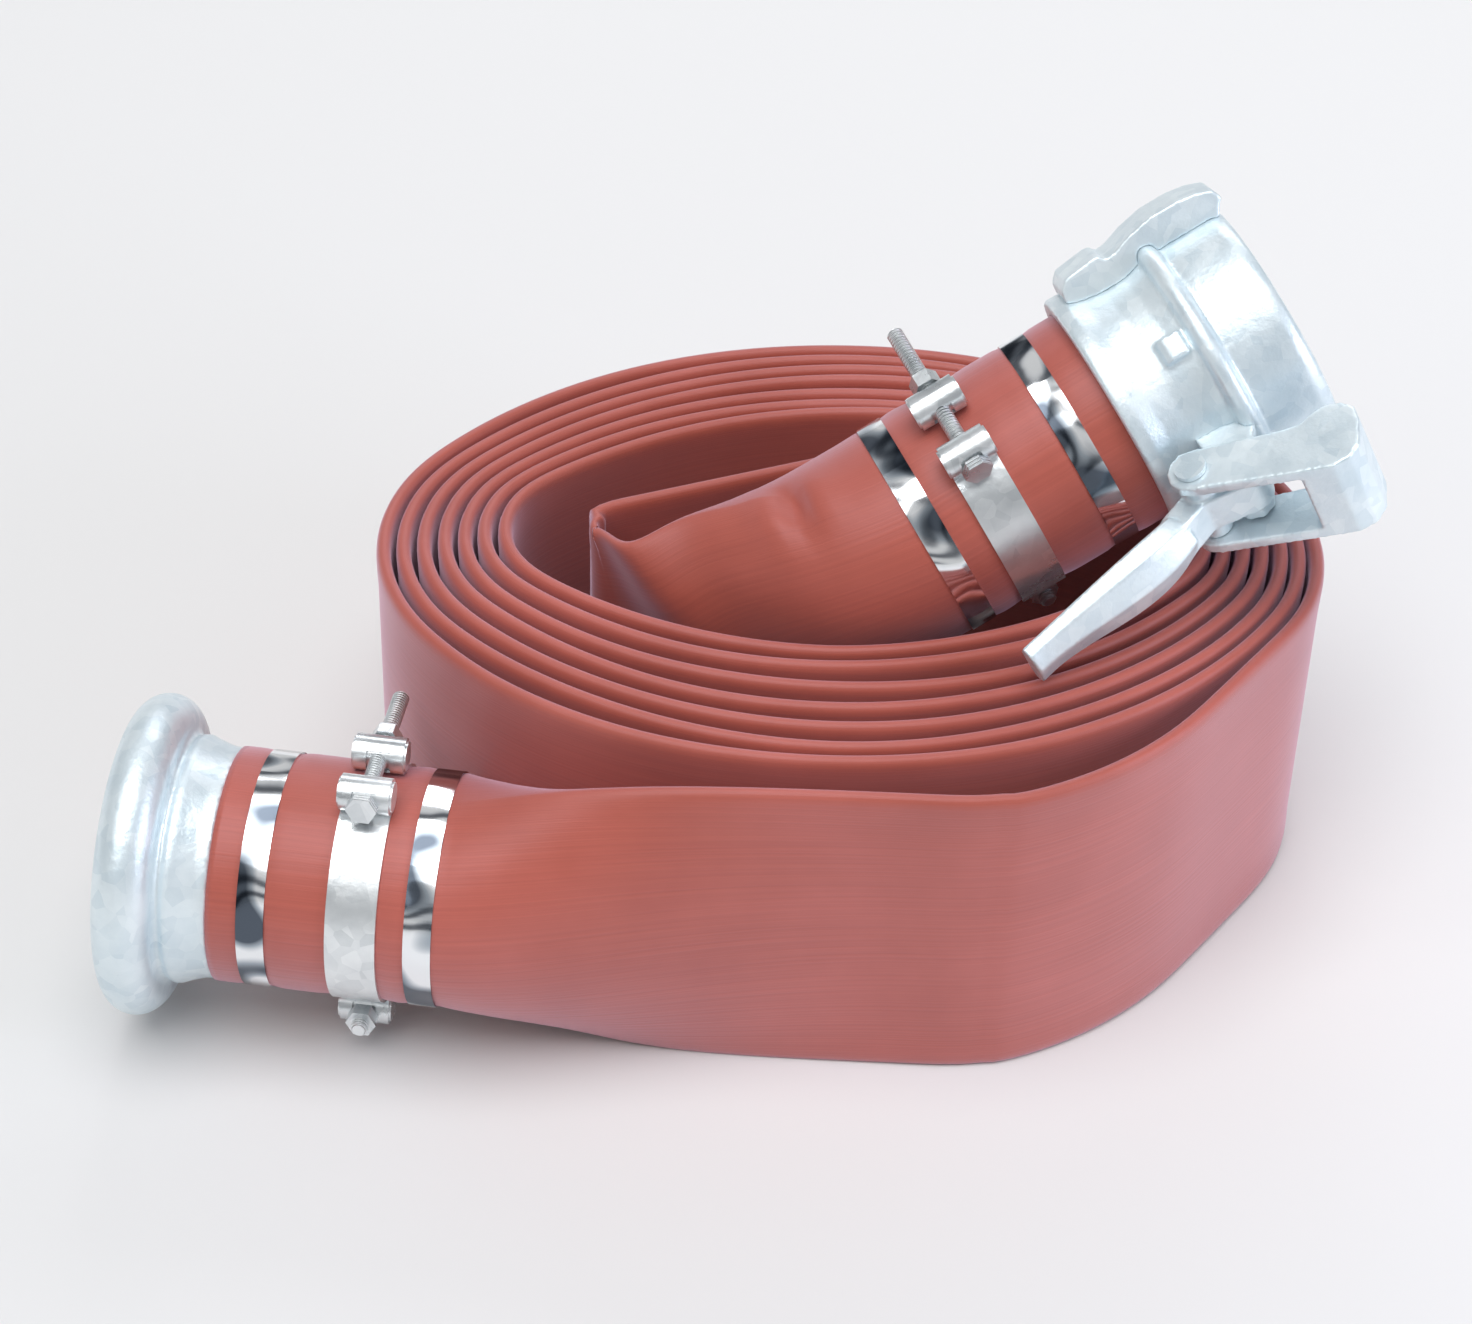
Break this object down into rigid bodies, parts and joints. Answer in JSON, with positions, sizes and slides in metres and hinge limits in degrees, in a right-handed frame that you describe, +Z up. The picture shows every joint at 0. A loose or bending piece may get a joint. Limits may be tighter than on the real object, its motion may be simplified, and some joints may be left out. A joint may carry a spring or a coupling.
{
  "type": "rolled fire hose",
  "caption": "Flat red rubber delivery hose rolled on edge, with a plain collar coupling on its outer end and a lever-lock coupling on its inner end.",
  "frame": {"origin": "on the floor, below the middle of the bounding box", "axes": "+Z up with the coil standing on its edge, +X towards the lever-lock coupling, +Y towards the back of the coil"},
  "size_m": [0.5899, 0.3654, 0.3311],
  "materials": {
    "hose_rubber": "matt terracotta red rubber with a fine lengthwise grain",
    "galvanised_steel": "hot-dip galvanised, pale blue-grey, faintly mottled",
    "clamp_zinc": "zinc-plated steel, half bright",
    "strap_steel": "polished stainless banding",
    "seal_rubber": "matt black sealing rubber"
  },
  "bodies": {
    "hose_and_couplings": {"collar_end_clamp_bolts": "clamp_zinc", "collar_end_clamp_first_band": "clamp_zinc", "collar_end_clamp_nuts": "clamp_zinc", "collar_end_clamp_second_band": "clamp_zinc", "collar_end_clamp_trunnions": "clamp_zinc", "collar_end_front_buckle": "strap_steel", "collar_end_front_strap": "strap_steel", "collar_end_rear_buckle": "strap_steel", "collar_end_rear_strap": "strap_steel", "collar_half_body": "galvanised_steel", "collar_half_seal": "seal_rubber", "collar_half_shank": "galvanised_steel", "hose_coil": "hose_rubber", "hose_inner_tail": "hose_rubber", "hose_outer_tail": "hose_rubber", "lever_end_clamp_bolts": "clamp_zinc", "lever_end_clamp_first_band": "clamp_zinc", "lever_end_clamp_nuts": "clamp_zinc", "lever_end_clamp_second_band": "clamp_zinc", "lever_end_clamp_trunnions": "clamp_zinc", "lever_end_front_buckle": "strap_steel", "lever_end_front_strap": "strap_steel", "lever_end_rear_buckle": "strap_steel", "lever_end_rear_strap": "strap_steel", "lever_half_bell": "galvanised_steel", "lever_half_seal": "seal_rubber", "lever_half_shank": "galvanised_steel", "lever_lugs": "galvanised_steel", "lever_pivot_pin": "galvanised_steel", "lower_fixed_hook": "galvanised_steel", "upper_fixed_hook": "galvanised_steel"},
    "lever": {"locking_lever": "galvanised_steel", "claw_link_pin": "galvanised_steel"},
    "claw": {"closing_claw": "galvanised_steel"}
  },
  "joints": [
    {"name": "lever_hinge", "type": "hinge", "parent": "hose_and_couplings", "child": "lever", "pos_m": [0.23051, -0.02705, 0.23863], "axis": [-0.4077, -0.1861, 0.8939], "range_deg": [-8, 115]},
    {"name": "claw_hinge", "type": "hinge", "parent": "lever", "child": "claw", "pos_m": [0.21274, -0.03035, 0.22984], "axis": [-0.4077, -0.1861, 0.8939], "range_deg": [-98, 7]}
  ],
  "couplings": [
    {"joint": "claw_hinge", "follows": "lever_hinge", "ratio": -0.85}
  ]
}
